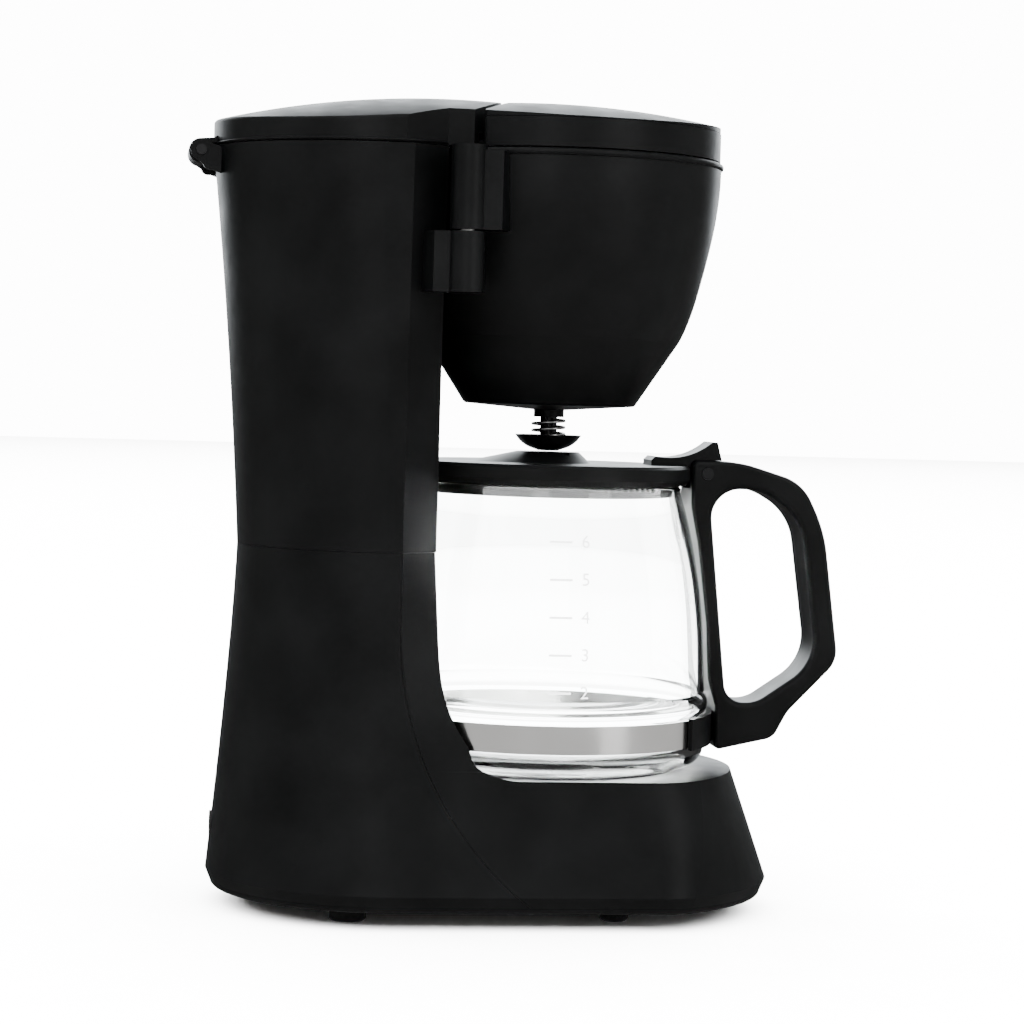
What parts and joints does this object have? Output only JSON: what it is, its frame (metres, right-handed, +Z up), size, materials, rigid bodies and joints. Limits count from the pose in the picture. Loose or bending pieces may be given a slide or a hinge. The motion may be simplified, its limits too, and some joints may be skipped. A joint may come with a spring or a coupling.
{
  "type": "drip coffee maker",
  "caption": "Drip coffee maker: rear water tank with hinged lid, swing-out filter holder with drip stop, warming plate and a glass jug with a black handle",
  "frame": {"origin": "centre of the footprint at floor height, under the feet", "axes": "+Z up, -Y to the front where the jug slides out, +X to the right side seen from behind the jug"},
  "size_m": [0.122, 0.231, 0.279],
  "materials": {
    "black_plastic": "satin black moulded plastic, fine spark texture",
    "dark_plastic": "dark grey moulded plastic",
    "rubber": "matt black rubber",
    "silicone": "translucent grey silicone",
    "glass": "clear blown glass",
    "stainless": "polished stainless strip",
    "warming_coating": "dark grey non-stick coating",
    "aluminium": "drawn aluminium",
    "steel": "zinc plated steel",
    "ceramic": "pale insulating body",
    "rocker": "glossy black rocker"
  },
  "bodies": {
    "housing": {"base_screws": "steel", "bottom_plate": "black_plastic", "bracket_screws": "steel", "check_valve": "dark_plastic", "cord_gland": "rubber", "feed_hose": "silicone", "front_feet": "rubber", "head_cover": "black_plastic", "head_shell": "black_plastic", "heater_bracket": "steel", "heater_element": "aluminium", "heater_terminals": "steel", "hose_clamps": "steel", "lid_hinge_pin": "dark_plastic", "outlet_hose": "silicone", "pedestal": "black_plastic", "plate_gasket": "silicone", "rear_feet": "rubber", "rear_shell": "black_plastic", "riser_hose": "silicone", "riser_pipe": "aluminium", "swing_hinge_pin": "steel", "switch_housing": "dark_plastic", "tank_housing": "black_plastic", "tank_strainer": "stainless", "thermal_fuses": "ceramic", "thermostat": "ceramic", "warming_plate": "warming_coating", "water_spreader": "dark_plastic", "water_tube": "aluminium"},
    "tank_lid": {"tank_lid": "black_plastic"},
    "filter_holder": {"filter_holder": "black_plastic", "filter_insert": "dark_plastic"},
    "drip_stop": {"drip_stop_valve": "dark_plastic", "drip_stop_seal": "silicone", "drip_stop_spring": "steel"},
    "jug": {"jug_glass": "glass", "jug_band": "stainless", "handle_collar": "black_plastic", "jug_handle": "black_plastic", "handle_screw": "steel", "jug_lid": "black_plastic", "jug_lid_pin": "dark_plastic"},
    "switch_rocker": {"switch_rocker": "rocker"}
  },
  "joints": [
    {"name": "tank_lid_hinge", "type": "hinge", "parent": "housing", "child": "tank_lid", "pos_m": [0, 0.1114, 0.258], "axis": [-1, 0, 0], "range_deg": [0, 95]},
    {"name": "filter_swing", "type": "hinge", "parent": "housing", "child": "filter_holder", "pos_m": [-0.0545, 0.0248, 0.24], "axis": [0, 0, -1], "range_deg": [0, 110]},
    {"name": "jug_slide", "type": "slide", "parent": "housing", "child": "jug", "axis": [0, -1, 0], "range_m": [0, 0.26]},
    {"name": "drip_stop_slide", "type": "slide", "parent": "filter_holder", "child": "drip_stop", "axis": [0, 0, -1], "range_m": [0, 0.0035], "deforming": ["drip_stop_spring"]},
    {"name": "switch_rock", "type": "hinge", "parent": "housing", "child": "switch_rocker", "pos_m": [0.05528, -0.02, 0.02968], "axis": [0.1973, 0, -0.9803], "range_deg": [0, 18]}
  ],
  "couplings": [
    {"joint": "drip_stop_slide", "follows": "jug_slide", "ratio": 0.013462}
  ]
}
